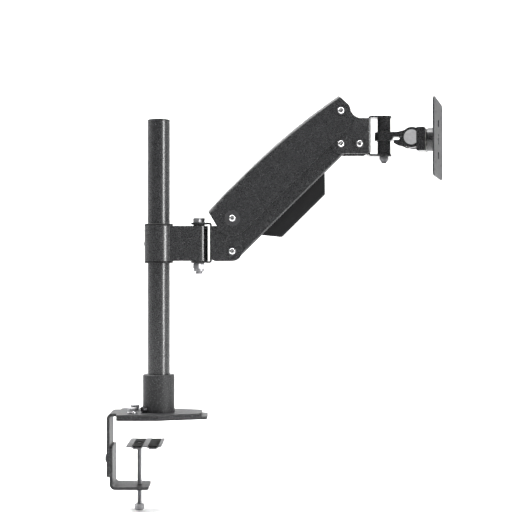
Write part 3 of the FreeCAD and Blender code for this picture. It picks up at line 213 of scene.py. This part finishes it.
# These nodes look different from the rest of their slot.
OWN_FINISH = {"base_bracket": "flat_coat", "base_under_plate": "flat_coat", "clamp_jaw": "flat_coat",
              "pole_socket": "flat_coat", "vesa_plate": "flat_coat", "elbow_bolt": "grey_zinc",
              "elbow_nut": "grey_zinc", "base_bolts": "grey_zinc", "clamp_screw": "grey_zinc",
              "swivel_nut": "grey_zinc", "clamp_foot_plate": "dull_steel"}


def finish_of(node):
    """The material of a node: its own, or that of its slot."""
    return FINISHES[OWN_FINISH.get(node, SLOT_OF[node])]


for node in SLOT_OF:
    cad = NODES[node]
    cad.data.materials.clear()
    cad.data.materials.append(finish_of(node))


# ---------------------------------------------------------------- detailed fasteners
SIDES = 48
MM = 0.001
UP = (0, 0, 1)
NEAR = (0, -1, 0)
ELBOW_X = 62.6
SWIVEL_X = 350.3
CORNER_TO_FRONT = 30
BODY_OF = {node: body for body, nodes in frame["record"]["behaviour"]["bodies"].items() for node in nodes}


def hexagon(flats, cap=99.0):
    """The radius of a hexagon by angle, rounded off at a cap radius."""
    return lambda angle, height: min(flats / 2 / math.cos(angle % (math.pi / 3) - math.pi / 6), cap)


def thread(radius, pitch):
    """The radius of a V thread by angle and height."""
    depth = 0.6 * pitch

    def reach(angle, height):
        phase = (height / pitch - angle / (2 * math.pi)) % 1
        return radius - depth * (1 - abs(2 * phase - 1))
    return reach


def threaded(radius, pitch, low, high):
    """Sections of a thread from one height up to another."""
    count = int((high - low) / pitch * 6) + 1
    return [(low + (high - low) * i / count, thread(radius, pitch)) for i in range(count + 1)]


class Turned:
    """A mesh of turned and milled shapes, built ring by ring in millimetres along a local Z axis."""

    def __init__(self):
        self.verts = []
        self.faces = []

    def add(self, sections, matrix, closed=False):
        """Skin rings of (height, radius), where a radius is a number or a function of angle and height."""
        first = len(self.verts)
        for height, radius in sections:
            for i in range(SIDES):
                angle = 2 * math.pi * i / SIDES
                reach = radius(angle, height) if callable(radius) else radius
                point = Vector((reach * math.cos(angle), reach * math.sin(angle), height))
                self.verts.append(matrix @ (point * MM))
        total = len(sections)
        for ring in range(total if closed else total - 1):
            low = first + ring * SIDES
            high = first + (ring + 1) % total * SIDES
            for i in range(SIDES):
                j = (i + 1) % SIDES
                self.faces.append((low + i, low + j, high + j, high + i))
        if not closed:
            self.faces.append(tuple(first + i for i in reversed(range(SIDES))))
            self.faces.append(tuple(first + (total - 1) * SIDES + i for i in range(SIDES)))

    def replace(self, node):
        """Make the piece that stands for a CAD node, on the same body and in the same finish."""
        mesh = bpy.data.meshes.new(node + "_detail")
        mesh.from_pydata(self.verts, [], self.faces)
        mesh.validate()
        shape = bmesh.new()
        shape.from_mesh(mesh)
        bmesh.ops.recalc_face_normals(shape, faces=shape.faces)
        shape.to_mesh(mesh)
        shape.free()
        for face in mesh.polygons:
            face.use_smooth = True
        mesh.set_sharp_from_angle(angle=math.radians(35))
        piece = bpy.data.objects.new(node + "_detail", mesh)
        bpy.context.scene.collection.objects.link(piece)
        mesh.materials.append(finish_of(node))
        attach(piece, BODY_OF[node])
        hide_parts(node)


def at(x, y, z, towards, spin=0):
    """A matrix that puts a fastener's seat at a point in millimetres, its head towards a direction."""
    turn = Vector(towards).to_track_quat("Z", "X").to_matrix().to_4x4()
    return Matrix.Translation(Vector((x, y, z)) * MM) @ turn @ Matrix.Rotation(math.radians(spin), 4, "Z")


def shank(radius, pitch, length, thread_length):
    """A plain shank below its seat, threaded at the tip."""
    tip = -length
    return [(tip, radius - 0.7 * pitch)] + threaded(radius, pitch, tip + 0.2, tip + thread_length) \
        + [(tip + thread_length + 0.3, radius), (-0.02, radius)]


def button_head(radius, height, socket):
    """A domed head with a hexagon socket."""
    rim = 0.25 * height
    dome = [(0, radius * 0.97), (rim * 0.3, radius), (rim, radius)]
    steps = 8
    mouth = socket * 0.62
    for i in range(1, steps + 1):
        swing = math.pi / 2 * i / steps * 0.92
        dome.append((rim + (height - rim) * math.sin(swing) / math.sin(math.pi / 2 * 0.92),
                     mouth + (radius - mouth) * math.cos(swing)))
    return dome + [(height, hexagon(socket, mouth)), (height * 0.4, hexagon(socket)), (height * 0.38, 0.01)]


def hex_head(flats, height):
    """A hexagon head on a washer face, its corners turned off at the top."""
    corner = flats / 2 / math.cos(math.pi / 6)
    return [(0, flats * 0.47), (0.3, flats * 0.47), (0.3, hexagon(flats, corner * 0.99)),
            (height - 0.08 * flats, hexagon(flats, corner)),
            (height - 0.04 * flats, hexagon(flats, corner * 0.96)),
            (height, flats * 0.46), (height, 0.01)]


def lock_nut(flats, height, bore):
    """A hexagon nut that hangs below its seat, with a rolled collar over its nylon ring."""
    corner = flats / 2 / math.cos(math.pi / 6)
    neck = -0.68 * height
    collar = 0.45 * flats
    return [(0, bore), (0, flats * 0.47), (-0.08 * flats, hexagon(flats, corner)),
            (neck + 0.06 * flats, hexagon(flats, corner)), (neck, hexagon(flats, corner * 0.93)),
            (neck, collar), (0.4 - height, collar), (0.1 - height, collar - 0.3),
            (-height, collar - 0.8), (-height, bore + 1.0), (0.5 - height, bore + 0.9), (0.5 - height, bore)]


def make_pivot_fasteners():
    """Button bolts and lock nuts along Y; a seat is how far out a head and its nut bear."""
    shell_seat = 24.1
    link_seat = 21.02
    arm_length = 235
    lower_x, lower_z = 114.4, 257.8
    rise = 50.5
    lift = math.radians(44.7)
    head_x = lower_x + arm_length * math.cos(lift)
    head_z = lower_z + arm_length * math.sin(lift)
    brace_x = 310.1
    pivots = {"yoke": [(lower_x, lower_z + rise, shell_seat), (lower_x, lower_z, link_seat)],
              "head": [(head_x, head_z + rise, shell_seat), (head_x, head_z, link_seat),
                       (brace_x, head_z, link_seat)]}
    for prefix, places in pivots.items():
        bolts = Turned()
        nuts = Turned()
        for x, z, seat in places:
            bolts.add(shank(3, 1, 2 * seat + 7, 12) + button_head(5.25, 3.3, 4), at(x, -seat, z, NEAR))
            nuts.add(lock_nut(10, 6, 3.02), at(x, seat, z, NEAR), closed=True)
        bolts.replace(prefix + "_pivot_bolts")
        nuts.replace(prefix + "_pivot_nuts")


def make_upright_fasteners():
    """The elbow's bolt and nut, the swivel's nut, the base bolts, and the jaw bolts that lie along X."""
    elbow = Turned()
    elbow.add(shank(6, 1.75, 79.6, 24) + hex_head(18, 7.5), at(ELBOW_X, 0, 302.4, UP, CORNER_TO_FRONT))
    elbow.replace("elbow_bolt")
    for node, x, z, flats, height, bore, spin in (
            ("elbow_nut", ELBOW_X, 239.8, 18, 13, 6.02, CORNER_TO_FRONT),
            ("swivel_nut", SWIVEL_X, 405.3, 13, 8, 4.02, 0)):
        nut = Turned()
        nut.add(lock_nut(flats, height, bore), at(x, 0, z, UP, spin), closed=True)
        nut.replace(node)
    base = Turned()
    for y in (-20, 20):
        base.add(shank(4, 1.25, 10.4, 9) + hex_head(13, 5.3), at(-39, y, 12, UP))
    base.replace("base_bolts")
    jaw = Turned()
    for y in (-14, 14):
        jaw.add(shank(4, 1.25, 9.1, 8) + button_head(7, 3.4, 5), at(-78, y, -61, (-1, 0, 0)))
    jaw.replace("clamp_jaw_bolts")


def make_clamp_spindle():
    """The clamp's threaded spindle, from its hexagon foot to the swivel button in the foot plate."""
    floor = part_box("clamp_foot_plate")[0][2] / MM
    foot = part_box("clamp_screw")[0][2] / MM
    flats = 13
    head = foot + 9.5
    corner = flats / 2 / math.cos(math.pi / 6)
    spindle = Turned()
    spindle.add([(foot, 0.01), (foot, flats * 0.44), (foot + 1, hexagon(flats, corner)),
                 (head - 0.8, hexagon(flats, corner)), (head, hexagon(flats, corner * 0.94)), (head, 3.1)]
                + threaded(4, 1.5, head + 0.1, floor - 3.4)
                + [(floor - 3, 3.4), (floor - 3, 6.7), (floor - 2.7, 7), (floor - 0.3, 7), (floor, 6.7),
                   (floor, 2.95), (floor + 2.1, 2.95), (floor + 2.1, 5), (floor + 3.2, 4.4),
                   (floor + 3.6, 3.6), (floor + 3.6, 0.01)],
                at(-30, 0, 0, UP))
    spindle.replace("clamp_screw")


make_pivot_fasteners()
make_upright_fasteners()
make_clamp_spindle()


# ---------------------------------------------------------------- studio
def make_floor():
    """A pale sweep: a floor that curves up into a backdrop."""
    low = CAD_BOX[0][2] - 0.0005
    profile = [(-4.0, low), (1.2, low)]
    for step in range(1, 13):
        angle = math.pi / 2 * step / 12
        profile.append((1.2 + 1.2 * math.sin(angle), low + 1.2 - 1.2 * math.cos(angle)))
    profile.append((2.4, low + 5.0))
    verts = [(x, y, z) for y, z in profile for x in (-6.0, 6.0)]
    faces = [(2 * i, 2 * i + 1, 2 * i + 3, 2 * i + 2) for i in range(len(profile) - 1)]
    mesh = bpy.data.meshes.new("studio_floor")
    mesh.from_pydata(verts, [], faces)
    for face in mesh.polygons:
        face.use_smooth = True
    floor = bpy.data.objects.new("studio_floor", mesh)
    bpy.context.scene.collection.objects.link(floor)
    paper = Finish("studio_paper")
    fibre = paper.noise(0.02, 4, 0.6)
    paper.colour(paper.ramp(fibre, (0.3, 0.86), (0.7, 0.88)))
    paper.roughness(paper.ramp(fibre, (0.3, 0.8), (0.7, 0.9)))
    mesh.materials.append(paper.material)


def area_light(name, place, target, size, power):
    """A rectangular lamp that faces a target."""
    lamp = bpy.data.lights.new(name, "AREA")
    lamp.shape = "RECTANGLE"
    lamp.size, lamp.size_y = size
    lamp.energy = power
    light = bpy.data.objects.new(name, lamp)
    light.location = place
    light.rotation_euler = (Vector(target) - Vector(place)).to_track_quat("-Z", "Y").to_euler()
    bpy.context.scene.collection.objects.link(light)


def make_surroundings():
    """White behind, fading to deep grey on the near side, so that flat faces stay dark."""
    world = bpy.data.worlds.new("studio")
    world.use_nodes = True
    tree = world.node_tree
    place = tree.nodes.new("ShaderNodeTexCoord")
    axes = tree.nodes.new("ShaderNodeSeparateXYZ")
    shift = tree.nodes.new("ShaderNodeMath")
    shift.operation = "MULTIPLY_ADD"
    shift.inputs[1].default_value = 0.5
    shift.inputs[2].default_value = 0.5
    ramp = tree.nodes.new("ShaderNodeValToRGB")
    for element, (position, grey) in zip(ramp.color_ramp.elements, ((0.18, 0.10), (0.6, 1.0))):
        element.position = position
        element.color = (grey, grey, grey, 1)
    tree.links.new(place.outputs["Generated"], axes.inputs["Vector"])
    tree.links.new(axes.outputs["Y"], shift.inputs[0])
    tree.links.new(shift.outputs["Value"], ramp.inputs["Fac"])
    background = tree.nodes["Background"]
    tree.links.new(ramp.outputs["Color"], background.inputs["Color"])
    background.inputs["Strength"].default_value = 1.1
    bpy.context.scene.world = world


def make_studio():
    """The floor, the surroundings and five lamps; the strip draws the bright line down each tube."""
    make_floor()
    make_surroundings()
    middle = (0.17, 0, 0.23)
    area_light("key", (-1.1, -1.3, 1.9), middle, (1.0, 1.0), 10)
    area_light("strip", (1.38, -0.92, 0.3), (0, 0, 0.3), (0.13, 1.7), 40)
    area_light("rim", (-1.3, 0.5, 1.7), middle, (1.4, 1.0), 70)
    area_light("top", (0.2, 0.5, 2.2), middle, (2.0, 1.4), 32)
    area_light("backdrop", (0.2, -0.2, 2.6), (0.2, 2.2, 0.6), (3.0, 1.0), 120)
    bpy.context.scene.view_settings.view_transform = "Standard"


def make_camera():
    """A level side view of the arm, from the clamp to the head."""
    lens = bpy.data.cameras.new("view")
    lens.sensor_width = 36
    lens.lens = 78.5
    lens.shift_x = 0.0254
    lens.shift_y = 0.0273
    camera = bpy.data.objects.new("view", lens)
    camera.location = (0.131, -1.737, 0.229)
    camera.rotation_euler = (math.radians(90), 0, 0)
    bpy.context.scene.collection.objects.link(camera)
    bpy.context.scene.camera = camera


make_studio()
make_camera()
